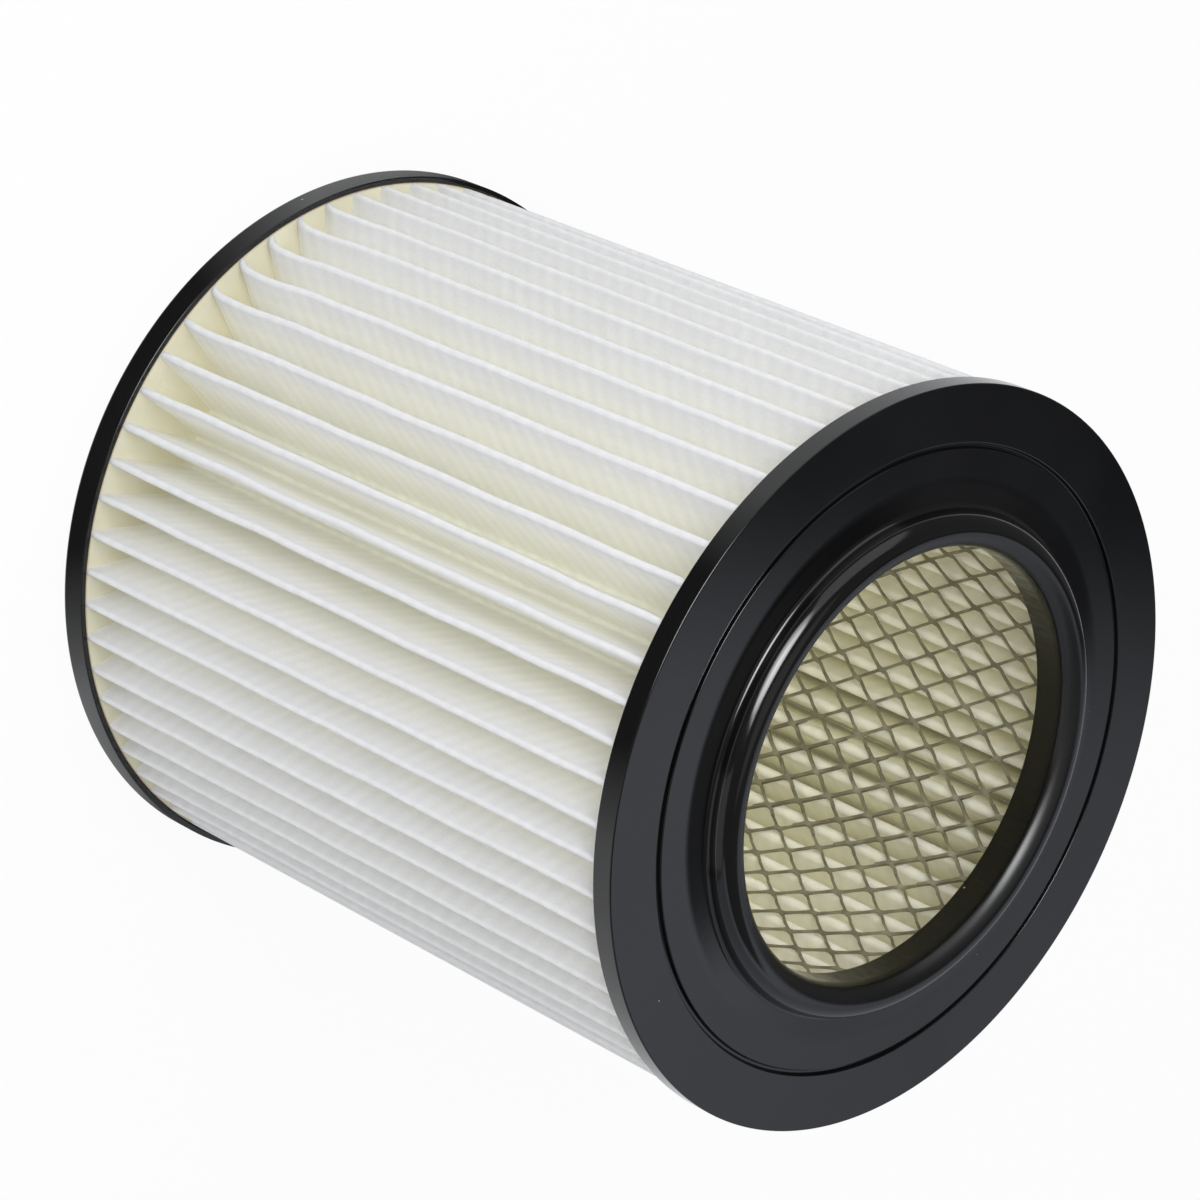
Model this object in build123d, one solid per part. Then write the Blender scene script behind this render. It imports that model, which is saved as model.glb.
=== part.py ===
from build123d import *
import math
import os

# Cartridge filter that stands on its closed end, axis +Z, millimetres.

# End caps
cap_diameter = 178.0
body_length = 191.0
rim_wall = 1.4
plate_thickness = 2.0
open_rim_depth = 5.4
closed_rim_depth = 6.6
rim_edge_bevel = 0.8

# Collar round the outlet
bore_diameter = 104.0
collar_width = 8.6
collar_height = 5.7
crest_flats = 6
dam_wall = 3.0
dam_depth = 4.8

# Groove in the open face
groove_diameter = 149.3
groove_width = 1.5
groove_depth = 1.0

# Pleated sheet
pleat_count = 60
pleat_depth = 24.1
sheet_thickness = 0.8
fold_gap = 0.8
fold_bevel = 0.6
tip_clearance = 0.2

# Expanded steel core
core_clearance = 0.3
core_thickness = 1.2
strand_width = 3.4
cells_around = 13
cells_along = 4

# Adhesive
adhesive_clearance = 0.2
closed_recess = 0.3

# Radii and levels that follow
cap_radius = cap_diameter / 2
bore_radius = bore_diameter / 2
channel_outer = cap_radius - rim_wall
channel_inner = bore_radius + dam_wall
tip_radius = channel_outer - tip_clearance
root_radius = tip_radius - pleat_depth
core_radius = root_radius - core_clearance
closed_level = closed_rim_depth - closed_recess
open_level = body_length - dam_depth
pack_length = open_level - closed_level
ceiling = body_length - plate_thickness


def revolved(section):
    return revolve(Plane.XZ * section, Axis.Z)


def band(inner, outer, low, high):
    return Pos((inner + outer) / 2, (low + high) / 2) * Rectangle(outer - inner, high - low)


def edge_at(sketch, radius, level):
    return sketch.vertices().sort_by_distance((radius, level, 0))[0]


def open_end_cap():
    crest = collar_width / 2
    crest_level = body_length + collar_height - crest
    collar_outer = bore_radius + collar_width
    plate = band(bore_radius, cap_radius, ceiling, body_length)
    rim = band(channel_outer, cap_radius, body_length - open_rim_depth, body_length)
    dam = band(bore_radius, channel_inner, open_level, body_length)
    collar = band(bore_radius, collar_outer, ceiling, crest_level)
    top = Pos(bore_radius + crest, crest_level) * RegularPolygon(crest, 2 * crest_flats)
    top &= band(bore_radius, collar_outer, crest_level, crest_level + crest)
    section = plate + rim + dam + collar + top
    section = chamfer(edge_at(section, cap_radius, body_length), rim_edge_bevel)
    groove = Polyline(
        (groove_diameter / 2 - groove_width / 2, body_length),
        (groove_diameter / 2, body_length - groove_depth),
        (groove_diameter / 2 + groove_width / 2, body_length),
        close=True,
    )
    return revolved(section - make_face(groove))


def closed_end_cap():
    plate = band(0, cap_radius, 0, plate_thickness)
    rim = band(channel_outer, cap_radius, 0, closed_rim_depth)
    section = chamfer(edge_at(plate + rim, cap_radius, 0), rim_edge_bevel)
    return revolved(section)


def adhesive(inner, low, high):
    return revolved(band(inner, channel_outer - adhesive_clearance, low, high))


def skin(half_pleat):
    # One face of the folded sheet, from the corners between a pleat's middle and the next root.
    pleat = [Vector(p.X, -p.Y) for p in reversed(half_pleat)] + half_pleat
    turns = [360 / pleat_count * i for i in range(pleat_count)]
    return Wire(Polyline([p.rotate(Axis.Z, turn) for turn in turns for p in pleat], close=True))


def pleated_media():
    # Both flanks of a fold lie against a flat as wide as the fold's gap.
    tip_inside = Vector(tip_radius - sheet_thickness, fold_gap / 2)
    root_inside = Vector(root_radius + sheet_thickness, -fold_gap / 2)
    root_inside = root_inside.rotate(Axis.Z, 180 / pleat_count)
    span = root_inside - tip_inside
    lean = math.degrees(math.asin(sheet_thickness / span.length))
    flank = span.normalized().rotate(Axis.Z, lean)
    root_way = Vector(1, 0).rotate(Axis.Z, 180 / pleat_count)
    tip_corner = root_inside + flank * ((tip_radius - root_inside.X) / flank.X)
    root_run = (root_radius - tip_inside.dot(root_way)) / flank.dot(root_way)
    nose = tip_corner - Vector(0, fold_bevel)
    shoulder = tip_corner + flank * fold_bevel
    outside = skin([nose, shoulder, root_inside])
    inside = skin([tip_inside, tip_inside + flank * root_run])
    return Pos(0, 0, closed_level) * extrude(Face(outside, [inside]), pack_length)


def support_core():
    # The strands run straight from bond to bond, so the wall has a flat side for each half cell.
    step = 360 / cells_around
    cell_length = pack_length / cells_along
    outline = RegularPolygon(core_radius, 2 * cells_around)
    wall = outline - RegularPolygon(core_radius - core_thickness, 2 * cells_around)
    core = Pos(0, 0, closed_level) * extrude(wall, pack_length)
    half_width = core_radius * math.sin(math.radians(step / 2))
    half_length = cell_length / 2
    slope = math.atan2(half_width, half_length)
    across = half_width - strand_width / 2 / math.cos(slope)
    along = half_length - strand_width / 2 / math.sin(slope)
    diamond = Plane.YZ * make_face(
        Polyline((across, 0), (0, along), (-across, 0), (0, -along), close=True)
    )
    near_side = core_radius * math.cos(math.radians(step / 2)) - 2 * core_thickness
    far_side = core_radius + core_thickness
    gap = Pos(near_side, 0, 0) * extrude(diamond, far_side - near_side, dir=(1, 0, 0))
    gaps = []
    for row in range(2 * cells_along + 1):
        level = closed_level + row * half_length
        turn = step / 2 * (row % 2)
        gaps += [Rot(0, 0, turn + i * step) * Pos(0, 0, level) * gap for i in range(cells_around)]
    return core - gaps


os.makedirs("parts", exist_ok=True)
pieces = {
    "open_end_cap": open_end_cap(),
    "closed_end_cap": closed_end_cap(),
    "pleated_media": pleated_media(),
    "support_core": support_core(),
    "open_end_adhesive": adhesive(channel_inner + adhesive_clearance, open_level, ceiling),
    "closed_end_adhesive": adhesive(0, plate_thickness, closed_level),
}
for name, piece in pieces.items():
    export_step(piece, f"parts/{name}.step")
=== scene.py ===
import math
import bmesh
import bpy
from mathutils import Matrix, Vector


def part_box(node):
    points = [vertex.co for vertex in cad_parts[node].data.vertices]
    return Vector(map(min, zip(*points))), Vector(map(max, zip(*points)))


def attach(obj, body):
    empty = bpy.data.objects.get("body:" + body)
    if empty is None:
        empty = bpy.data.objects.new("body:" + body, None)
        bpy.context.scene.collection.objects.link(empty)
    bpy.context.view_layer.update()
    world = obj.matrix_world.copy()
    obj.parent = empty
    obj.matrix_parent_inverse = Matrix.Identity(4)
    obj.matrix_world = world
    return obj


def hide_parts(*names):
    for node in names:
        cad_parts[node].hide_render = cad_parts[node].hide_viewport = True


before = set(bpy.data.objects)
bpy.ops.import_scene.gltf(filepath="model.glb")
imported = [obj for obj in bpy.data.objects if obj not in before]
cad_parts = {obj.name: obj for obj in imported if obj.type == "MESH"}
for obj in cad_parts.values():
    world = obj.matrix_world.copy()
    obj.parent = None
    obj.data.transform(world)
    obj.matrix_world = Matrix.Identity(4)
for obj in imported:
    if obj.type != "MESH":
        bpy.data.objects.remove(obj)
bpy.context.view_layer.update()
print("frame loaded:", sorted(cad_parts))

mm = 0.001
weld = 0.02 * mm  # points of a repeated shape that are this near become one
noiseSpread = (0.3, 0.7)  # most of a noise lies between these
collarHeight = 5.7 * mm
rimReach = 1.6 * mm  # from the tips of the pleats to the outside of the rims
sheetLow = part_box("pleated_media")[0][2]
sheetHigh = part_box("pleated_media")[1][2]
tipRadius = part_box("pleated_media")[1][0]
capRadius = tipRadius + rimReach
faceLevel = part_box("open_end_cap")[1][2] - collarHeight  # the flat of the open face, under the collar


# Node helpers

def setSocket(tree, socket, value):
    if isinstance(value, bpy.types.NodeSocket):
        tree.links.new(value, socket)
    else:
        socket.default_value = value


def addNode(tree, kind, sockets=None, **settings):
    made = tree.nodes.new(kind)
    for name, value in settings.items():
        setattr(made, name, value)
    for key, value in (sockets or {}).items():
        setSocket(tree, made.inputs[key], value)
    return made


def calc(tree, operation, *values):
    made = addNode(tree, "ShaderNodeMath", dict(enumerate(values)), operation=operation)
    return made.outputs[0]


def vector(tree, **parts):
    return addNode(tree, "ShaderNodeCombineXYZ", parts).outputs[0]


def newTree(name, inputs):
    tree = bpy.data.node_groups.new(name, "GeometryNodeTree")
    tree.interface.new_socket("Geometry", in_out="INPUT", socket_type="NodeSocketGeometry")
    for label, kind in inputs.items():
        tree.interface.new_socket(label, in_out="INPUT", socket_type="NodeSocket" + kind)
    tree.interface.new_socket("Geometry", in_out="OUTPUT", socket_type="NodeSocketGeometry")
    return tree, tree.nodes.new("NodeGroupInput"), tree.nodes.new("NodeGroupOutput")


def joinCopies(tree, copies):
    real = addNode(tree, "GeometryNodeRealizeInstances", {"Geometry": copies})
    joined = addNode(tree, "GeometryNodeMergeByDistance", {"Geometry": real.outputs[0], "Distance": weld})
    return joined.outputs[0]


def pointPlace(tree):
    position = tree.nodes.new("GeometryNodeInputPosition").outputs[0]
    return addNode(tree, "ShaderNodeSeparateXYZ", {0: position}).outputs


def moveTo(tree, geometry, place):
    return addNode(tree, "GeometryNodeSetPosition", {"Geometry": geometry, "Position": place}).outputs[0]


def aroundAxis(tree, radius, angle, level):
    # angle zero faces -Y
    back = calc(tree, "MULTIPLY", calc(tree, "COSINE", angle), -1.0)
    return vector(tree, X=calc(tree, "MULTIPLY", radius, calc(tree, "SINE", angle)),
                  Y=calc(tree, "MULTIPLY", radius, back), Z=level)


def closeTree(tree, groupIn, groupOut, geometry):
    real = addNode(tree, "GeometryNodeRealizeInstances", {"Geometry": geometry})
    finish = addNode(tree, "GeometryNodeSetMaterial",
                     {"Geometry": real.outputs[0], "Material": groupIn.outputs["Material"]})
    tree.links.new(finish.outputs[0], groupOut.inputs[0])


def grow(piece, tree, values, after=None):
    maker = piece.modifiers.new("grow", "NODES")
    maker.node_group = tree
    for item in tree.interface.items_tree:
        if item.in_out == "INPUT" and item.name in values:
            maker[item.identifier] = values[item.name]
    if after:
        after(piece)
    ready = piece.evaluated_get(bpy.context.evaluated_depsgraph_get())
    mesh = bpy.data.meshes.new_from_object(ready)
    piece.modifiers.clear()
    piece.data = mesh


def newPiece(name, mesh, material=None):
    piece = bpy.data.objects.new(name, mesh)
    bpy.context.scene.collection.objects.link(piece)
    if material:
        mesh.materials.append(material)
    return piece


def smooth(piece, angle):
    piece.data.shade_smooth()
    piece.data.set_sharp_from_angle(angle=math.radians(angle))


def dress(piece, node):
    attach(piece, "root")
    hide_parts(node)


# Shader helpers

def newMaterial(name):
    material = bpy.data.materials.new(name)
    material.use_nodes = True
    tree = material.node_tree
    return material, tree, tree.nodes["Principled BSDF"]


def blendColour(tree, amount, first, second):
    mix = addNode(tree, "ShaderNodeMix", data_type="RGBA")
    for index, value in ((0, amount), (6, first), (7, second)):
        setSocket(tree, mix.inputs[index], value)
    return mix.outputs[2]


def mapValue(tree, value, low, high, newLow=0.0, newHigh=1.0):
    ranged = addNode(tree, "ShaderNodeMapRange", {0: value, 1: low, 2: high, 3: newLow, 4: newHigh})
    return ranged.outputs[0]


def objectPlace(tree):
    return tree.nodes.new("ShaderNodeTexCoord").outputs["Object"]


def objectParts(tree):
    return addNode(tree, "ShaderNodeSeparateXYZ", {0: objectPlace(tree)}).outputs


def axisRadius(tree):
    parts = objectParts(tree)
    flat = vector(tree, X=parts["X"], Y=parts["Y"])
    return addNode(tree, "ShaderNodeVectorMath", {0: flat}, operation="LENGTH").outputs["Value"]


def addNoise(tree, place, size, detail):
    scale = calc(tree, "DIVIDE", 1.0, size)
    made = addNode(tree, "ShaderNodeTexNoise", {"Vector": place, "Scale": scale, "Detail": detail})
    return made.outputs[0]


def mottleGroup():
    # patchy tone and fine relief, on Object coordinates in metres
    patchDetail, grainDetail = 3.0, 2.0
    tree = bpy.data.node_groups.new("mottle", "ShaderNodeTree")
    for label in ("Patch Size", "Grain Size"):
        tree.interface.new_socket(label, in_out="INPUT", socket_type="NodeSocketFloat")
    for label in ("Tone", "Grain"):
        tree.interface.new_socket(label, in_out="OUTPUT", socket_type="NodeSocketFloat")
    groupIn = tree.nodes.new("NodeGroupInput")
    groupOut = tree.nodes.new("NodeGroupOutput")
    place = objectPlace(tree)
    patches = addNoise(tree, place, groupIn.outputs["Patch Size"], patchDetail)
    grains = addNoise(tree, place, groupIn.outputs["Grain Size"], grainDetail)
    tree.links.new(patches, groupOut.inputs["Tone"])
    tree.links.new(grains, groupOut.inputs["Grain"])
    return tree


mottle = mottleGroup()


def addMottle(tree, patchSize, grainSize):
    group = addNode(tree, "ShaderNodeGroup", node_tree=mottle)
    group.inputs["Patch Size"].default_value = patchSize
    group.inputs["Grain Size"].default_value = grainSize
    return group.outputs["Tone"], group.outputs["Grain"]


def addBump(tree, shader, height, distance, strength):
    bump = addNode(tree, "ShaderNodeBump", {"Height": height, "Distance": distance, "Strength": strength})
    tree.links.new(bump.outputs[0], shader.inputs["Normal"])


# Lathe helpers

def roundedOutline(corners, steps):
    # corners are (radius, level, edge radius) round a closed section
    hold = 0.1 * mm  # a point this far beside each arc holds the flat
    largeEdge = 1.0 * mm  # edges from this radius up get more steps
    bends = []
    for i, (r, z, edge) in enumerate(corners):
        here = Vector((r, z))
        before = Vector(corners[i - 1][:2]) - here
        after = Vector(corners[(i + 1) % len(corners)][:2]) - here
        half = before.angle(after) / 2
        bends.append((here, before, after, half, edge, edge / math.tan(half)))
    outline = []
    for i, (here, before, after, half, edge, reach) in enumerate(bends):
        if not edge:
            outline.append(here)
            continue
        roomBefore = before.length - reach - bends[i - 1][-1]
        roomAfter = after.length - reach - bends[(i + 1) % len(bends)][-1]
        before, after = before.normalized(), after.normalized()
        centre = here + (before + after).normalized() * (edge / math.sin(half))
        start = here + before * reach - centre
        end = here + after * reach - centre
        if roomBefore > 3 * hold:
            outline.append(here + before * (reach + hold))
        count = steps if edge < largeEdge else 2 * steps + 2
        outline += [centre + start.slerp(end, k / count) * edge for k in range(count + 1)]
        if roomAfter > 3 * hold:
            outline.append(here + after * (reach + hold))
    return outline


def lathe(name, outline, around):
    # a closed ring section, or one that starts and ends on the axis
    mesh = bpy.data.meshes.new(name)
    form = bmesh.new()
    turns = [2 * math.pi * i / around for i in range(around)]
    rings = []
    for r, z in outline:
        if r < weld:
            rings.append([form.verts.new((0, 0, z))])
        else:
            rings.append([form.verts.new((r * math.cos(a), r * math.sin(a), z)) for a in turns])
    onAxis = len(rings[0]) == 1
    for k in range(len(rings) - 1 if onAxis else len(rings)):
        low, high = rings[k], rings[(k + 1) % len(rings)]
        for i in range(around):
            j = (i + 1) % around
            loop = [low[i % len(low)], low[j % len(low)], high[j % len(high)], high[i % len(high)]]
            form.faces.new(list(dict.fromkeys(loop)))
    bmesh.ops.recalc_face_normals(form, faces=form.faces)
    form.to_mesh(mesh)
    form.free()
    return mesh


# Black moulded caps

cap = {
    "tone": (0.0028, 0.0028, 0.003, 1),
    "worn": (0.005, 0.005, 0.0055, 1),
    "wornFrom": (0.4, 0.7),  # patch tones over which it goes from new to worn
    "dust": (0.45, 0.45, 0.45, 1),
    "dustScale": 85.0,
    "dustSize": 0.018,  # share of a cell
    "patch": 50 * mm,
    "grain": 2.2 * mm,
    "bump": (0.03 * mm, 0.12),  # depth and strength
    "roughness": (0.10, 0.15),
    "lip": (54.0 * mm, 57.0 * mm),  # the top of the collar towards the bore is scuffed
    "lipLevels": (2.5 * mm, 4.2 * mm),
    "lipRoughness": 0.26,
    "specular": 0.55,
    "around": 240,
    "edgeSteps": 5,
    "sharp": 35,
    "rimWall": 1.4 * mm,
    "plate": 2.0 * mm,
    "openRim": 5.4 * mm,
    "closedRim": 6.6 * mm,
    "edge": 0.3 * mm,
    "openFine": 0.2 * mm,  # small edges of the open cap
    "closedFine": 0.25 * mm,
    "bore": 52.0 * mm,
    "collarWidth": 8.6 * mm,
    "collarBase": 1.2 * mm,
    "crestRound": 0.999,  # share of the collar's half width
    "rise": (66.5 * mm, 0.55 * mm, 25 * mm),  # the face lifts a little towards the collar
    "dam": (3.0 * mm, 4.8 * mm),
    "groove": (149.3 * mm / 2, 1.5 * mm, 1.0 * mm),
}


def blackPlastic():
    material, tree, shader = newMaterial("black moulded plastic")
    tone, grain = addMottle(tree, cap["patch"], cap["grain"])
    cells = addNode(tree, "ShaderNodeTexVoronoi", {"Vector": objectPlace(tree), "Scale": cap["dustScale"]})
    speck = calc(tree, "LESS_THAN", cells.outputs["Distance"], cap["dustSize"])
    body = blendColour(tree, mapValue(tree, tone, *cap["wornFrom"]), cap["tone"], cap["worn"])
    tree.links.new(blendColour(tree, speck, body, cap["dust"]), shader.inputs["Base Color"])
    lipLow, lipHigh = (faceLevel + rise for rise in cap["lipLevels"])
    inner = mapValue(tree, axisRadius(tree), *cap["lip"], cap["lipRoughness"], 0.0)
    upper = mapValue(tree, objectParts(tree)["Z"], lipLow, lipHigh)
    scuffed = calc(tree, "MULTIPLY", inner, upper)
    patchy = mapValue(tree, tone, *noiseSpread, *cap["roughness"])
    tree.links.new(calc(tree, "ADD", patchy, scuffed), shader.inputs["Roughness"])
    shader.inputs["Specular IOR Level"].default_value = cap["specular"]
    addBump(tree, shader, grain, *cap["bump"])
    return material


def openCapOutline():
    top = faceLevel
    ceiling = top - cap["plate"]
    rimInner = capRadius - cap["rimWall"]
    collarOuter = cap["bore"] + cap["collarWidth"]
    crest = top + collarHeight
    crestEdge = cap["collarWidth"] / 2 * cap["crestRound"]
    damWall, damDepth = cap["dam"]
    grooveRadius, grooveWidth, grooveDepth = cap["groove"]
    grooveOut = grooveRadius + grooveWidth / 2
    grooveIn = grooveRadius - grooveWidth / 2
    riseRadius, riseHeight, riseBend = cap["rise"]
    fine = cap["openFine"]
    return roundedOutline([
        (capRadius, top - cap["openRim"], fine),
        (capRadius, top, cap["edge"]),
        (grooveOut, top, fine),
        (grooveOut - 2 * fine, top - grooveDepth, fine),
        (grooveIn + 2 * fine, top - grooveDepth, fine),
        (grooveIn, top, fine),
        (riseRadius, top, riseBend),
        (collarOuter, top + riseHeight, cap["collarBase"]),
        (collarOuter, crest, crestEdge),
        (cap["bore"], crest, crestEdge),
        (cap["bore"], top - damDepth, 2 * fine),
        (cap["bore"] + damWall, top - damDepth, fine),
        (cap["bore"] + damWall, ceiling, fine),
        (rimInner, ceiling, fine),
        (rimInner, top - cap["openRim"], fine),
    ], cap["edgeSteps"])


def closedCapOutline():
    rimInner = capRadius - cap["rimWall"]
    fine = cap["closedFine"]
    return roundedOutline([
        (0.0, 0.0, 0),
        (capRadius, 0.0, cap["edge"]),
        (capRadius, cap["closedRim"], fine),
        (rimInner, cap["closedRim"], fine),
        (rimInner, cap["plate"], fine),
        (0.0, cap["plate"], 0),
    ], cap["edgeSteps"])


capMaterial = blackPlastic()
openCap = newPiece("openCap", lathe("openCap", openCapOutline(), cap["around"]), capMaterial)
closedCap = newPiece("closedCap", lathe("closedCap", closedCapOutline(), cap["around"]), capMaterial)
smooth(openCap, cap["sharp"])
smooth(closedCap, cap["sharp"])
dress(openCap, "open_end_cap")
dress(closedCap, "closed_end_cap")
print("caps:", len(openCap.data.polygons), "and", len(closedCap.data.polygons), "faces")


# Pleated sheet

sheet = {
    "pleats": 60,
    "depth": 24.1 * mm,
    "thickness": 0.8 * mm,
    "tipBend": 0.5 * mm,  # bend radii at the middle of the sheet
    "rootBend": 1.0 * mm,
    "bulge": -0.15 * mm,
    "tipSteps": 3,
    "flankSteps": 4,
    "rootSteps": 2,
    "endRows": 16,
    "endLength": 40 * mm,
    "bodyRows": 20,
    "sharp": 50,
    "phase": 2.16,
    "swing": 1.9,  # degrees by which the pitch opens and closes round the ring
    "swingAxis": 18.0,
    "wander": 0.55 * mm,
    "wanderLength": 24 * mm,
    "jitter": 0.35 * mm,
    "lean": 1.5 * mm,
    "leanCentre": -33.0,
    "leanSpread": 20.0,
    "leanShape": ((0.0, 1.0), (0.28, -0.75), (0.62, -0.15), (1.0, 0.0)),  # shares of length and lean
    "seed": 7,
    "laneStep": 3.7,  # keeps the wander of one pleat unlike the next one's
    # the tones by depth paint light and shade on the cream felt: the darker lavender band at the tips is
    # painted shade, the brighter cream deeper in the valleys is painted light
    "outerToneAndPaintedShading": (  # share of the depth from root to tip, colour
        (0.0, (0.97, 0.967, 0.905, 1)),
        (0.3, (0.975, 0.972, 0.925, 1)),
        (0.68, (0.97, 0.967, 0.93, 1)),
        (0.86, (0.87, 0.873, 0.877, 1)),
        (0.95, (0.80, 0.806, 0.82, 1)),
        (1.0, (0.81, 0.818, 0.833, 1)),
    ),
    "innerToneAndPaintedLight": ((0.0, (0.95, 0.937, 0.825, 1)), (1.0, (0.97, 0.962, 0.885, 1))),
    "patch": 12 * mm,
    "patchShade": (0.975, 1.0),
    "fibre": 0.9 * mm,
    "fibreShade": (0.965, 1.0),
    "ribPitch": 5.05 * mm,
    "ribPaintedShade": 0.02,
    "ribPatches": (0.35, 0.65, 0.3, 1.2),  # patch tones over which the painted rib stripes grow from faint to clear
    "relief": (0.25, 0.8),  # shares of the ribs and the fibres
    "bump": (0.2 * mm, 0.8),
    "roughness": 0.9,
    "specular": 0.2,
}
rootRadius = tipRadius - sheet["depth"]


def halfPleat():
    # middle of the sheet from a root's middle to a tip's middle, the pleat's axis along +X
    skin = sheet["thickness"] / 2
    turn = Matrix.Rotation(math.pi / sheet["pleats"], 2)
    rootWay = turn @ Vector((1, 0))
    tipCentre = Vector((tipRadius - skin - sheet["tipBend"], 0))
    rootCentre = rootWay * (rootRadius + skin + sheet["rootBend"])
    span = rootCentre - tipCentre
    lean = math.acos((sheet["tipBend"] + sheet["rootBend"]) / span.length)
    normal = Matrix.Rotation(-lean, 2) @ span.normalized()
    rootArc = [rootCentre + (-rootWay).slerp(-normal, k / sheet["rootSteps"]) * sheet["rootBend"]
               for k in range(sheet["rootSteps"] + 1)]
    tipArc = [tipCentre + normal.slerp(Vector((1, 0)), k / sheet["tipSteps"]) * sheet["tipBend"]
              for k in range(sheet["tipSteps"] + 1)]
    flank = []
    for k in range(1, sheet["flankSteps"]):
        share = k / sheet["flankSteps"]
        bulge = normal * sheet["bulge"] * math.sin(math.pi * share)
        flank.append(rootArc[-1].lerp(tipArc[0], share) + bulge)
    return rootArc + flank + tipArc


def pleatMesh():
    half = halfPleat()
    section = half + [Vector((p.x, -p.y)) for p in reversed(half[:-1])]
    rest = sheetHigh - sheetLow - sheet["endLength"]
    levels = [sheet["endLength"] * k / sheet["endRows"] for k in range(sheet["endRows"])]
    levels += [sheet["endLength"] + rest * k / sheet["bodyRows"] for k in range(sheet["bodyRows"] + 1)]
    points = [(p.x, p.y, sheetLow + z) for z in levels for p in section]
    wide = len(section)
    faces = []
    for row in range(len(levels) - 1):
        for k in range(wide - 1):
            at = row * wide + k
            faces.append((at, at + wide, at + wide + 1, at + 1))
    mesh = bpy.data.meshes.new("pleat")
    mesh.from_pydata(points, [], faces)
    run = sum((b - a).length for a, b in zip(section, section[1:]))
    return mesh, run


def pushedOver(tree, share):
    # the ends that were pushed over as they went into the closed cap
    bent = addNode(tree, "ShaderNodeFloatCurve", {"Value": share})
    first, *between, last = sheet["leanShape"]
    curve = bent.mapping.curves[0]
    bent.mapping.use_clip = False
    curve.points[0].location = first
    curve.points[1].location = last
    for spot in between:
        curve.points.new(*spot)
    bent.mapping.update()
    return bent.outputs[0]


def pleatTree():
    tree, groupIn, groupOut = newTree("pleat ring", {
        "Pleats": "Int", "Phase": "Float", "Swing": "Float", "Swing Axis": "Float",
        "Root Radius": "Float", "Depth": "Float", "Base Level": "Float",
        "Wander": "Float", "Wander Length": "Float", "Jitter": "Float", "Lane Step": "Float",
        "Lean": "Float", "Lean Length": "Float", "Lean Centre": "Float", "Lean Spread": "Float",
        "Seed": "Int", "Material": "Material"})
    given = groupIn.outputs
    index = tree.nodes.new("GeometryNodeInputIndex").outputs[0]
    line = addNode(tree, "GeometryNodeMeshLine", {"Count": given["Pleats"], "Offset": (0, 0, 0)})
    step = calc(tree, "DIVIDE", 2 * math.pi, given["Pleats"])
    quarter = calc(tree, "SUBTRACT", given["Phase"], math.pi / 2)
    spin = vector(tree, Z=calc(tree, "MULTIPLY_ADD", index, step, quarter))
    ring = addNode(tree, "GeometryNodeInstanceOnPoints",
                   {"Points": line.outputs[0], "Instance": given["Geometry"], "Rotation": spin})
    tagged = addNode(tree, "GeometryNodeStoreNamedAttribute",
                     {"Geometry": ring.outputs[0], "Name": "pleat", "Value": index},
                     data_type="FLOAT", domain="INSTANCE")
    joined = joinCopies(tree, tagged.outputs[0])
    tag = addNode(tree, "GeometryNodeInputNamedAttribute", {"Name": "pleat"}, data_type="FLOAT")
    pleat = tag.outputs[0]

    x, y, z = pointPlace(tree)
    square = calc(tree, "ADD", calc(tree, "MULTIPLY", x, x), calc(tree, "MULTIPLY", y, y))
    radius = calc(tree, "SQRT", square)
    angle = calc(tree, "ARCTAN2", x, calc(tree, "MULTIPLY", y, -1.0))  # zero faces -Y
    share = calc(tree, "DIVIDE", calc(tree, "SUBTRACT", radius, given["Root Radius"]), given["Depth"])
    fromAxis = calc(tree, "SUBTRACT", angle, given["Swing Axis"])
    swung = calc(tree, "COSINE", calc(tree, "MULTIPLY", fromAxis, 2.0))
    swing = calc(tree, "MULTIPLY", calc(tree, "SUBTRACT", swung, 1.0), given["Swing"])

    # sideways wander of each tip along its length
    rise = calc(tree, "SUBTRACT", z, given["Base Level"])
    lane = calc(tree, "MULTIPLY_ADD", pleat, given["Lane Step"], given["Seed"])
    along = vector(tree, X=lane, Y=calc(tree, "DIVIDE", rise, given["Wander Length"]))
    waves = addNode(tree, "ShaderNodeTexNoise", {"Vector": along, "Scale": 1.0, "Detail": 1.0})
    wave = calc(tree, "MULTIPLY", calc(tree, "SUBTRACT", waves.outputs[0], 0.5), 2.0)
    sideways = calc(tree, "MULTIPLY", wave, given["Wander"])
    offset = addNode(tree, "FunctionNodeRandomValue",
                     {"Min": -1.0, "Max": 1.0, "ID": pleat, "Seed": given["Seed"]}, data_type="FLOAT")
    sideways = calc(tree, "MULTIPLY_ADD", offset.outputs[1], given["Jitter"], sideways)

    bent = pushedOver(tree, calc(tree, "DIVIDE", rise, given["Lean Length"]))
    gap = calc(tree, "DIVIDE", calc(tree, "SUBTRACT", angle, given["Lean Centre"]), given["Lean Spread"])
    near = calc(tree, "MAXIMUM", calc(tree, "SUBTRACT", 1.0, calc(tree, "MULTIPLY", gap, gap)), 0.0)
    pushed = calc(tree, "MULTIPLY", calc(tree, "MULTIPLY", bent, near), given["Lean"])
    sideways = calc(tree, "SUBTRACT", sideways, pushed)

    moved = calc(tree, "DIVIDE", calc(tree, "MULTIPLY", sideways, share), radius)
    newAngle = calc(tree, "ADD", angle, calc(tree, "ADD", swing, moved))
    placed = moveTo(tree, joined, aroundAxis(tree, radius, newAngle, z))
    closeTree(tree, groupIn, groupOut, placed)
    return tree


def paintedDepthRamp(tree, share, tones):
    ramp = addNode(tree, "ShaderNodeValToRGB", {0: share})
    stops = ramp.color_ramp.elements
    while len(stops) < len(tones):
        stops.new(1.0)
    for stop, (place, colour) in zip(stops, tones):
        stop.position = place
        stop.color = colour
    return ramp.outputs[0]


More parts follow.
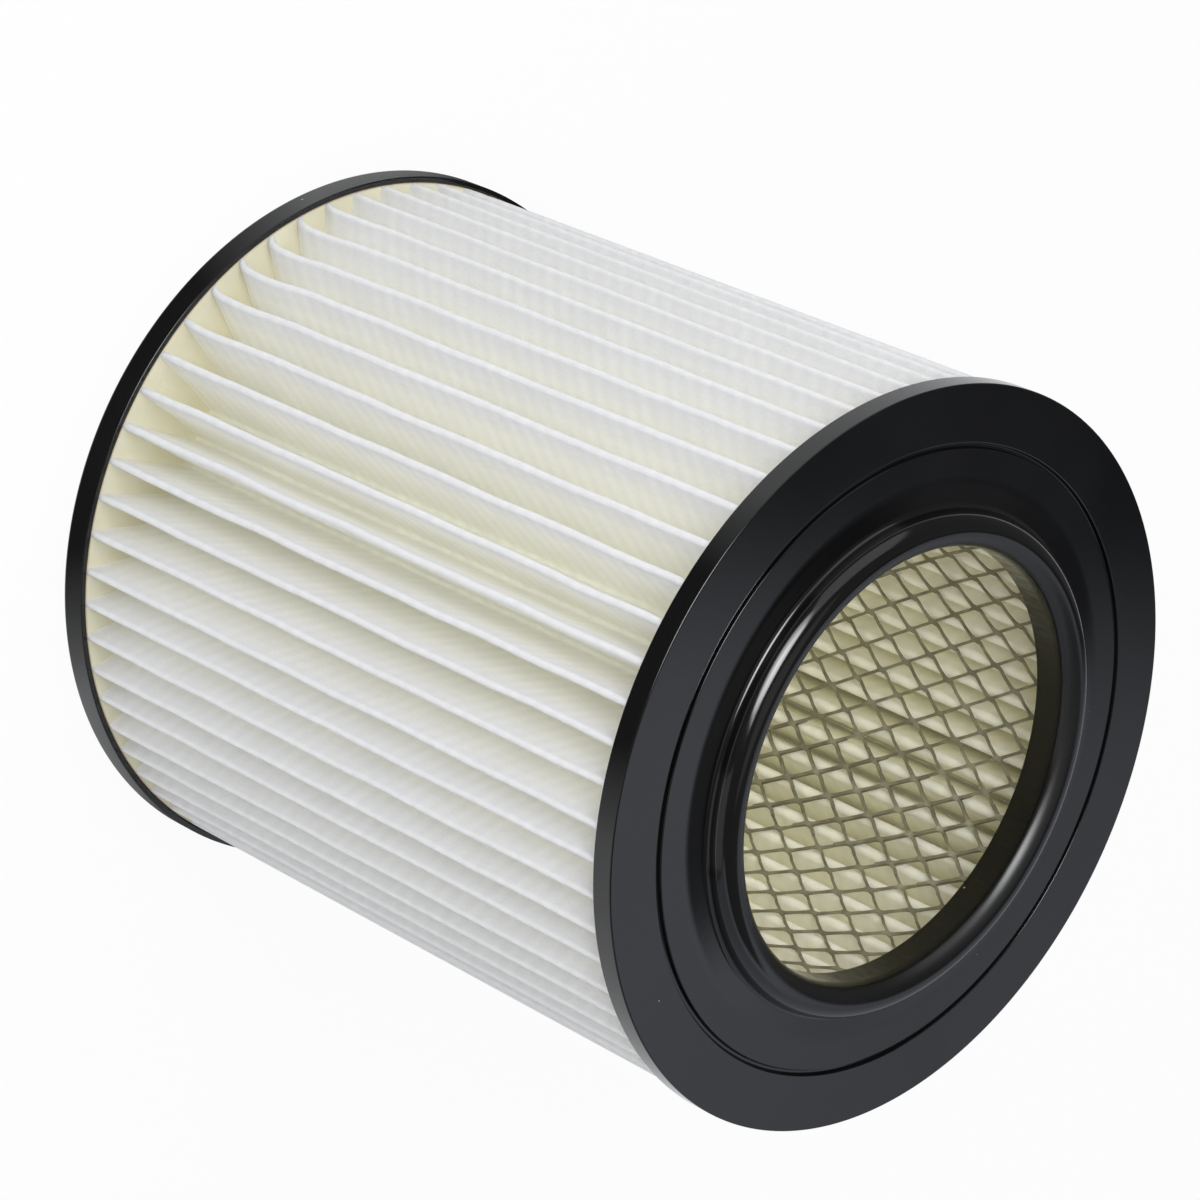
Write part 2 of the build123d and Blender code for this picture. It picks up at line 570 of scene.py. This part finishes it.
def felt():
    material, tree, shader = newMaterial("pleated polyester felt")
    tone, grain = addMottle(tree, sheet["patch"], sheet["fibre"])
    share = mapValue(tree, axisRadius(tree), rootRadius, tipRadius)
    inside = addNode(tree, "ShaderNodeAttribute", attribute_name="inside").outputs["Fac"]
    # cream felt with painted shade at the tips and painted light deep in the valleys, its face towards the
    # bore with a ramp of its own
    colour = blendColour(tree, inside, paintedDepthRamp(tree, share, sheet["outerToneAndPaintedShading"]),
                         paintedDepthRamp(tree, share, sheet["innerToneAndPaintedLight"]))
    level = objectParts(tree)["Z"]
    rib = calc(tree, "SINE", calc(tree, "MULTIPLY", level, 2 * math.pi / sheet["ribPitch"]))
    fibres = calc(tree, "MULTIPLY", mapValue(tree, tone, *noiseSpread, *sheet["patchShade"]),
                  mapValue(tree, grain, *noiseSpread, *sheet["fibreShade"]))
    # light and dark stripes along the ribs: painted shade of their relief, which the bump gives as well
    ribPaintedShade = calc(tree, "MULTIPLY", mapValue(tree, tone, *sheet["ribPatches"]), sheet["ribPaintedShade"])
    shade = calc(tree, "MULTIPLY_ADD", rib, ribPaintedShade, fibres)
    tinted = addNode(tree, "ShaderNodeVectorMath", {0: colour, 1: shade}, operation="MULTIPLY")
    tree.links.new(tinted.outputs[0], shader.inputs["Base Color"])
    shader.inputs["Roughness"].default_value = sheet["roughness"]
    shader.inputs["Specular IOR Level"].default_value = sheet["specular"]
    ribShare, fibreShare = sheet["relief"]
    height = calc(tree, "MULTIPLY_ADD", rib, ribShare, calc(tree, "MULTIPLY", grain, fibreShare))
    addBump(tree, shader, height, *sheet["bump"])
    return material


def solidSheet(piece):
    wall = piece.modifiers.new("wall", "SOLIDIFY")
    wall.thickness = sheet["thickness"]
    wall.offset = 0
    wall.use_even_offset = True


def markInside(piece):
    # the face of the sheet towards the bore has a tone of its own, cream and lighter towards the tips:
    # painted light in the shaded gaps between the roots
    points = piece.data.vertices
    count = len(points) // 2
    reach = [max(math.hypot(p.co.x, p.co.y) for p in face) for face in (points[:count], points[count:])]
    first = float(reach[0] < reach[1])
    mark = piece.data.attributes.new("inside", "FLOAT", "POINT")
    mark.data.foreach_set("value", [first] * count + [1 - first] * count)


feltMaterial = felt()
onePleat, pleatRun = pleatMesh()
pleats = newPiece("pleatedSheet", onePleat)
grow(pleats, pleatTree(), {
    "Pleats": sheet["pleats"], "Phase": math.radians(sheet["phase"]),
    "Swing": math.radians(sheet["swing"]), "Swing Axis": math.radians(sheet["swingAxis"]),
    "Root Radius": rootRadius, "Depth": sheet["depth"], "Base Level": sheetLow,
    "Wander": sheet["wander"], "Wander Length": sheet["wanderLength"],
    "Jitter": sheet["jitter"], "Lane Step": sheet["laneStep"],
    "Lean": sheet["lean"], "Lean Length": sheet["endLength"],
    "Lean Centre": math.radians(sheet["leanCentre"]), "Lean Spread": math.radians(sheet["leanSpread"]),
    "Seed": sheet["seed"], "Material": feltMaterial}, solidSheet)
markInside(pleats)
smooth(pleats, sheet["sharp"])
dress(pleats, "pleated_media")
print("pleated sheet:", len(pleats.data.polygons), "faces")


# Expanded steel core

core = {
    "rows": 27,
    "rowPitch": 6.88 * mm,
    "firstRow": 6.36 * mm,
    "cellWidth": 8.537 * mm,
    "columns": 49,
    "radius": 62.5 * mm,  # middle of the outer layer
    "lapDrop": 0.6 * mm,
    "lapRun": 70 * mm,
    "lapEase": (1.6, 0.3),  # how steeply the lap comes up, and how softly
    "startAngle": 158.96,
    "strand": 0.70 * mm,
    "thickness": 0.36 * mm,
    "tilt": 0.35 * mm,
    "bond": 0.95 * mm,
    "knuckle": (0.6 * mm, 0.72 * mm, 0.45 * mm),  # half width of a bond, and a point on its rounded corner
    "armRun": 1.35 * mm,
    "bend": ((0.54 * mm, 1.38 * mm), (1.34 * mm, 2.5 * mm)),  # one strand leaves each bond in a curve
    "straightRise": (0.0, 0.2, 0.45, 0.0, 0.0, 0.9, 1.0),  # shares of the tilt along an arm's outline
    "bentRise": (0.0, 0.2, 0.45, 0.25, 0.0, 0.0, 0.35, 0.9, 1.0),
    "cutFrom": 0.8,  # edges past this share of an arm are its cut end
    "sharp": 40,
    "tone": (0.235, 0.222, 0.16, 1),
    "bright": (0.40, 0.38, 0.285, 1),
    "brightFrom": (0.35, 0.75),
    "patch": 4 * mm,
    "grain": 0.4 * mm,
    "roughness": (0.38, 0.6),
    "metallic": 0.6,
    "bump": (0.06 * mm, 0.5),
}


def acrossWay(way):
    return Vector((way.y, -way.x)).normalized() * core["strand"] / 2


def crossingArms():
    # outlines and faces of a straight and a bent arm, in the quadrant of +X and +Y
    end = Vector((core["cellWidth"] / 4, core["rowPitch"] / 2))
    side = acrossWay(end)
    root = end.normalized() * core["armRun"]
    knuckle, cornerX, cornerY = core["knuckle"]
    near = [Vector((knuckle, 0)), Vector((cornerX, cornerY))]
    tip = [Vector((0, core["bond"]))]
    first, second = (Vector(spot) for spot in core["bend"])
    firstSide, secondSide = acrossWay(second), acrossWay(end - first)
    straight = near + [root + side, end + side, end - side, root - side] + tip
    bent = near + [first + firstSide, second + secondSide, end + side,
                   end - side, second - secondSide, first - firstSide] + tip
    straightFaces = ((0, 1, 6), (1, 2, 5, 6), (2, 3, 4, 5))
    bentFaces = ((0, 1, 8), (1, 2, 7, 8), (2, 3, 6, 7), (3, 4, 5, 6))
    return (straight, core["straightRise"], straightFaces), (bent, core["bentRise"], bentFaces)


def flatSpot(point):
    micron = 6  # digits of a metre
    return round(point.co.x, micron), round(point.co.y, micron)


def crossingMesh():
    # one crossing of strands, flat in XY and raised in Z, its four arms cut at the strands' middles
    straight, bent = crossingArms()
    form = bmesh.new()
    for layer in (-1, 1):
        base = layer * core["thickness"] / 2
        for sx, sy in ((1, 1), (-1, 1), (-1, -1), (1, -1)):
            outline, rises, orders = bent if sx < 0 < sy else straight
            spots = [form.verts.new((sx * p.x, sy * p.y, base + sy * lift * core["tilt"]))
                     for p, lift in zip(outline, rises)]
            middle = form.verts.new((0, 0, base))
            for order in orders:
                loop = [spots[k] for k in order]
                loop = [middle] + loop if order[0] == 0 else loop
                form.faces.new(loop if sx * sy * layer > 0 else loop[::-1])
    bmesh.ops.remove_doubles(form, verts=form.verts, dist=weld / 2)

    # walls between the two layers, apart from the cut ends
    cutLevel = core["rowPitch"] / 2 * core["cutFrom"]
    walls = [e for e in form.edges
             if e.is_boundary and not all(abs(v.co.y) > cutLevel for v in e.verts)]
    pairs = {}
    for point in form.verts:
        pairs.setdefault(flatSpot(point), []).append(point)
    done = set()
    for edge in walls:
        spots = tuple(sorted(flatSpot(v) for v in edge.verts))
        if spots in done:
            continue
        done.add(spots)
        (a0, a1), (b0, b1) = (sorted(pairs[spot], key=lambda v: v.co.z) for spot in spots)
        form.faces.new((a0, b0, b1, a1))
    bmesh.ops.recalc_face_normals(form, faces=form.faces)
    mesh = bpy.data.meshes.new("crossing")
    form.to_mesh(mesh)
    form.free()
    return mesh


def coreTree():
    tree, groupIn, groupOut = newTree("rolled expanded metal", {
        "Columns": "Int", "Rows": "Int", "Cell Width": "Float", "Row Pitch": "Float", "Radius": "Float",
        "Lap Drop": "Float", "Lap Run": "Float", "Lap Steepness": "Float", "Lap Softness": "Float",
        "Start Angle": "Float", "Base Level": "Float", "Material": "Material"})
    given = groupIn.outputs
    index = tree.nodes.new("GeometryNodeInputIndex").outputs[0]
    count = calc(tree, "MULTIPLY", given["Columns"], given["Rows"])
    line = addNode(tree, "GeometryNodeMeshLine", {"Count": count, "Offset": (0, 0, 0)})
    row = calc(tree, "FLOOR", calc(tree, "DIVIDE", index, given["Columns"]))
    column = calc(tree, "MODULO", index, given["Columns"])
    stagger = calc(tree, "MULTIPLY", calc(tree, "MODULO", row, 2.0), 0.5)
    across = calc(tree, "MULTIPLY", calc(tree, "ADD", column, stagger), given["Cell Width"])
    grid = moveTo(tree, line.outputs[0],
                  vector(tree, X=across, Y=calc(tree, "MULTIPLY", row, given["Row Pitch"])))
    web = addNode(tree, "GeometryNodeInstanceOnPoints", {"Points": grid, "Instance": given["Geometry"]})
    joined = joinCopies(tree, web.outputs[0])

    # the flat web is rolled up, its first stretch inside the last
    u, v, w = pointPlace(tree)
    angle = calc(tree, "ADD", calc(tree, "DIVIDE", u, given["Radius"]), given["Start Angle"])
    lapped = calc(tree, "MINIMUM", calc(tree, "DIVIDE", u, given["Lap Run"]), 1.0)
    steep = calc(tree, "MULTIPLY", calc(tree, "SUBTRACT", 1.0, lapped), given["Lap Steepness"])
    eased = calc(tree, "SMOOTH_MIN", steep, 1.0, given["Lap Softness"])
    drop = calc(tree, "MULTIPLY", eased, given["Lap Drop"])
    radius = calc(tree, "SUBTRACT", calc(tree, "ADD", given["Radius"], w), drop)
    level = calc(tree, "ADD", v, given["Base Level"])
    closeTree(tree, groupIn, groupOut, moveTo(tree, joined, aroundAxis(tree, radius, angle, level)))
    return tree


def dullSteel():
    material, tree, shader = newMaterial("dull expanded steel")
    tone, grain = addMottle(tree, core["patch"], core["grain"])
    colour = blendColour(tree, mapValue(tree, tone, *core["brightFrom"]), core["tone"], core["bright"])
    tree.links.new(colour, shader.inputs["Base Color"])
    tree.links.new(mapValue(tree, grain, *noiseSpread, *core["roughness"]), shader.inputs["Roughness"])
    shader.inputs["Metallic"].default_value = core["metallic"]
    addBump(tree, shader, grain, *core["bump"])
    return material


def closeEnds(piece):
    form = bmesh.new()
    form.from_mesh(piece.data)
    bmesh.ops.holes_fill(form, edges=[e for e in form.edges if e.is_boundary], sides=4)
    bmesh.ops.recalc_face_normals(form, faces=form.faces)
    form.to_mesh(piece.data)
    form.free()


steelMaterial = dullSteel()
steelCore = newPiece("expandedCore", crossingMesh())
lapSteepness, lapSoftness = core["lapEase"]
grow(steelCore, coreTree(), {
    "Columns": core["columns"], "Rows": core["rows"], "Cell Width": core["cellWidth"],
    "Row Pitch": core["rowPitch"], "Radius": core["radius"], "Lap Drop": core["lapDrop"],
    "Lap Run": core["lapRun"], "Lap Steepness": lapSteepness, "Lap Softness": lapSoftness,
    "Start Angle": math.radians(core["startAngle"]), "Base Level": core["firstRow"],
    "Material": steelMaterial})
closeEnds(steelCore)
smooth(steelCore, core["sharp"])
dress(steelCore, "support_core")
print("expanded core:", len(steelCore.data.polygons), "faces")


# Adhesive

glue = {
    "tone": (0.80, 0.775, 0.62, 1),
    "deep": (0.73, 0.70, 0.53, 1),
    "rimTone": (0.56, 0.45, 0.31, 1),
    "rimBand": 0.5 * mm,
    "patch": 20 * mm,
    "grain": 1.2 * mm,
    "bump": (0.2 * mm, 0.4),
    "roughness": 0.5,
}


def creamAdhesive():
    material, tree, shader = newMaterial("cream adhesive")
    tone, grain = addMottle(tree, glue["patch"], glue["grain"])
    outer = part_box("closed_end_adhesive")[1][0]
    rim = mapValue(tree, axisRadius(tree), outer - glue["rimBand"], outer)
    body = blendColour(tree, mapValue(tree, tone, *noiseSpread), glue["deep"], glue["tone"])
    tree.links.new(blendColour(tree, rim, body, glue["rimTone"]), shader.inputs["Base Color"])
    shader.inputs["Roughness"].default_value = glue["roughness"]
    addBump(tree, shader, grain, *glue["bump"])
    return material


adhesiveMaterial = creamAdhesive()
for node in ("open_end_adhesive", "closed_end_adhesive"):
    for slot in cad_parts[node].material_slots:
        slot.material = adhesiveMaterial
print("adhesive dressed")


# Floor, light and camera

studio = {
    "floorSize": 12.0,
    "floorTone": (0.93, 0.93, 0.93, 1),
    "floorWhite": 0.93,
    "world": (0.5, 0.5, 0.5, 1),
    "worldGloss": 0.3,  # share of it that the gloss sees
    "worldSeen": 1.94,  # white to the camera, as the floor is
    "stageTint": (0.97, 0.985, 1, 1),
    "stageSides": 48,
    "matRadius": 1.0,  # glowing disc over the floor that only the gloss of the rims sees: painted reflections, dark in front
    "matHeight": 0.5 * mm,
    "matAngles": (24.0, 50.0),
    "matGlow": (0.10, 0.95),
    # near the object the disc darkens at the sides: painted shadow in the rims' reflection
    "nearRadius": 0.13,
    "nearAngles": (48.0, 80.0),
    "nearPaintedShadow": 0.1,
    "boreLamp": (0.083, 0.052),  # power and radius of a small lamp in the bore
    "boreTint": (1.0, 0.975, 0.84),
    "cardRun": ((-0.45, 1.7), (1.2, 1.7), (1.9, 0.9), (1.9, -0.6)),  # plan, round the back and the right
    "cardTop": 2.2,
    "cardEdge": (-0.215, -0.075),  # it fades in over this stretch of X, at the level below
    "cardEdgeLevel": 1.3,
    "cardSlant": 0.216,
    "cardDark": 0.12,
    "cardLevels": (1.30, 1.70),
    "cardGlow": (0.53, 0.90),
    "cardFade": (1.76, 1.95),
    "cardTint": (0.91, 0.96, 1.05, 1),
    "boxPlace": (-0.37, -1.08, 1.04),  # round glowing disc near the camera that only the gloss sees: a painted highlight on the collar
    "boxAim": (0.0, -0.05, 0.19),
    "boxRadius": 0.5,
    "boxGlow": (13.0, 4.5),  # middle and edge
}
lamps = {  # place, aim, size, power
    "front": ((-0.26, -0.98, 1.15), (0, -0.05, 0.17), (0.9, 0.6), 8.8),
    "key": ((-1.3, -0.5, 1.0), (0, 0, 0.1), (1.4, 1.2), 4.6),
    "fill": ((1.3, -1.1, 0.6), (0, 0, 0.1), (1.2, 1.2), 2.1),
    "top": ((-0.1, 0.1, 2.2), (0, 0, 0.1), (1.2, 1.2), 1.5),
}


def facing(place, aim):
    return (Vector(aim) - Vector(place)).to_track_quat("-Z", "Y")


def stageMaterial(name):
    material, tree, shader = newMaterial(name)
    material.cycles.emission_sampling = "NONE"
    return material, tree, shader


def floorMaterial():
    material, tree, shader = stageMaterial("white floor")
    shader.inputs["Base Color"].default_value = studio["floorTone"]
    shader.inputs["Roughness"].default_value = 1.0
    shader.inputs["Specular IOR Level"].default_value = 0.0
    path = tree.nodes.new("ShaderNodeLightPath").outputs
    seen = calc(tree, "MAXIMUM", path["Is Camera Ray"],
                calc(tree, "MAXIMUM", path["Is Glossy Ray"], path["Is Transmission Ray"]))
    glow = addNode(tree, "ShaderNodeEmission", {"Color": (1, 1, 1, 1), "Strength": 1.0})
    mix = addNode(tree, "ShaderNodeMixShader", {0: calc(tree, "MULTIPLY", seen, studio["floorWhite"]),
                                                1: shader.outputs[0], 2: glow.outputs[0]})
    tree.links.new(mix.outputs[0], tree.nodes["Material Output"].inputs[0])
    return material


def glowMaterial(name, tint, level):
    material, tree, shader = stageMaterial(name)
    tree.nodes.remove(shader)
    lit = addNode(tree, "ShaderNodeEmission", {"Color": tint, "Strength": level(tree)})
    tree.links.new(lit.outputs[0], tree.nodes["Material Output"].inputs[0])
    return material


def cardLevel(tree):
    # glowing card behind the object that only the gloss sees: a painted grey reflection on the face
    parts = objectParts(tree)
    level = parts["Z"]
    rise = calc(tree, "SUBTRACT", level, studio["cardEdgeLevel"])
    edge = calc(tree, "MULTIPLY_ADD", rise, -studio["cardSlant"], parts["X"])
    lift = mapValue(tree, level, *studio["cardLevels"], *studio["cardGlow"])
    fade = mapValue(tree, level, *studio["cardFade"], 1.0, studio["cardDark"])
    start = mapValue(tree, edge, *studio["cardEdge"], studio["cardDark"], 1.0)
    return calc(tree, "MULTIPLY", calc(tree, "MULTIPLY", lift, fade), start)


def matLevel(tree):
    parts = objectParts(tree)
    angle = calc(tree, "ARCTAN2", parts["X"], calc(tree, "MULTIPLY", parts["Y"], -1.0))
    aside = calc(tree, "ABSOLUTE", calc(tree, "DEGREES", angle))
    far = mapValue(tree, aside, *studio["matAngles"], *studio["matGlow"])
    # near the object the disc darkens at the sides: painted shadow in the rims' reflection
    dimmed = mapValue(tree, aside, *studio["nearAngles"], 1.0, studio["nearPaintedShadow"])
    near = calc(tree, "LESS_THAN", axisRadius(tree), studio["nearRadius"])
    shaded = calc(tree, "MULTIPLY", near, calc(tree, "SUBTRACT", 1.0, dimmed))
    return calc(tree, "MULTIPLY", far, calc(tree, "SUBTRACT", 1.0, shaded))


def boxLevel(tree):
    middle = addNode(tree, "ShaderNodeVectorMath", {0: objectPlace(tree), 1: studio["boxPlace"]},
                     operation="DISTANCE")
    return mapValue(tree, middle.outputs["Value"], 0.0, studio["boxRadius"], *studio["boxGlow"])


def glossOnly(name, points, faces, material):
    # a glowing sheet, no lamp, that only the gloss sees: it paints reflections
    mesh = bpy.data.meshes.new(name)
    mesh.from_pydata(points, [], faces)
    piece = newPiece(name, mesh, material)
    piece.visible_camera = piece.visible_diffuse = piece.visible_shadow = False
    piece.visible_transmission = piece.visible_volume_scatter = False


def areaLight(name, place, aim, size, power):
    lamp = bpy.data.lights.new(name, "AREA")
    lamp.shape = "RECTANGLE"
    lamp.size, lamp.size_y = size
    lamp.energy = power
    holder = bpy.data.objects.new(name, lamp)
    holder.location = place
    holder.rotation_euler = facing(place, aim).to_euler()
    holder.visible_camera = False
    bpy.context.scene.collection.objects.link(holder)


reach = studio["floorSize"] / 2
floorMesh = bpy.data.meshes.new("floor")
floorMesh.from_pydata([(-reach, -reach, 0), (reach, -reach, 0), (reach, reach, 0), (-reach, reach, 0)],
                      [], [(0, 1, 2, 3)])
floor = newPiece("floor", floorMesh, floorMaterial())

world = bpy.data.worlds.new("studio")
bpy.context.scene.world = world
world.use_nodes = True
skyTree = world.node_tree
sky = skyTree.nodes["Background"]
sky.inputs["Color"].default_value = studio["world"]
skyPath = skyTree.nodes.new("ShaderNodeLightPath").outputs
skyLevel = mapValue(skyTree, skyPath["Is Glossy Ray"], 0.0, 1.0, 1.0, studio["worldGloss"])
skyLevel = mapValue(skyTree, skyPath["Is Camera Ray"], 0.0, 1.0, skyLevel, studio["worldSeen"])
skyTree.links.new(skyLevel, sky.inputs["Strength"])

for lampName, lampFacts in lamps.items():
    areaLight(lampName, *lampFacts)

boreLamp = bpy.data.lights.new("bore", "POINT")
boreLamp.energy, boreLamp.shadow_soft_size = studio["boreLamp"]
boreLamp.color = studio["boreTint"]
boreHolder = bpy.data.objects.new("bore", boreLamp)
boreHolder.location = (0, 0, (sheetLow + sheetHigh) / 2)
boreHolder.visible_camera = boreHolder.visible_glossy = False
bpy.context.scene.collection.objects.link(boreHolder)

cardPoints = [(x, y, z) for x, y in studio["cardRun"] for z in (0.0, studio["cardTop"])]
cardFaces = [(k, k + 2, k + 3, k + 1) for k in range(0, len(cardPoints) - 2, 2)]
glossOnly("card", cardPoints, cardFaces, glowMaterial("painted reflection card", studio["cardTint"], cardLevel))
turns = [2 * math.pi * i / studio["stageSides"] for i in range(studio["stageSides"])]
circle = [Vector((math.cos(a), math.sin(a), 0)) for a in turns]
disc = [range(len(circle))]
matPoints = [spot * studio["matRadius"] + Vector((0, 0, studio["matHeight"])) for spot in circle]
glossOnly("mat", matPoints, disc, glowMaterial("painted reflection mat", studio["stageTint"], matLevel))
boxFacing = facing(studio["boxPlace"], studio["boxAim"]).to_matrix()
boxPoints = [Vector(studio["boxPlace"]) + boxFacing @ spot * studio["boxRadius"] for spot in circle]
glossOnly("paintedHighlightDisc", boxPoints, disc, glowMaterial("painted highlight disc", studio["stageTint"], boxLevel))

shot = {
    "place": (0.0, -0.8130, 0.80325),
    "aim": (-0.00614, -0.00043, 0.09),
    "roll": 114.23,
    "lens": 135.35,
    "sensor": 36.0,
    "near": 0.01,
}
lens = bpy.data.cameras.new("camera")
lens.lens = shot["lens"]
lens.sensor_width = shot["sensor"]
lens.sensor_fit = "HORIZONTAL"
lens.clip_start = shot["near"]
camera = bpy.data.objects.new("camera", lens)
camera.matrix_world = (Matrix.Translation(shot["place"])
                       @ facing(shot["place"], shot["aim"]).to_matrix().to_4x4()
                       @ Matrix.Rotation(math.radians(shot["roll"]), 4, "Z"))
bpy.context.scene.collection.objects.link(camera)
bpy.context.scene.camera = camera
bpy.context.scene.view_settings.view_transform = "Standard"
bpy.context.scene.cycles.diffuse_bounces = 12  # light that goes to and fro between the pleats
bpy.context.scene.cycles.max_bounces = 16
bpy.context.scene.cycles.use_light_tree = False  # quicker with so few lamps
print("studio set")
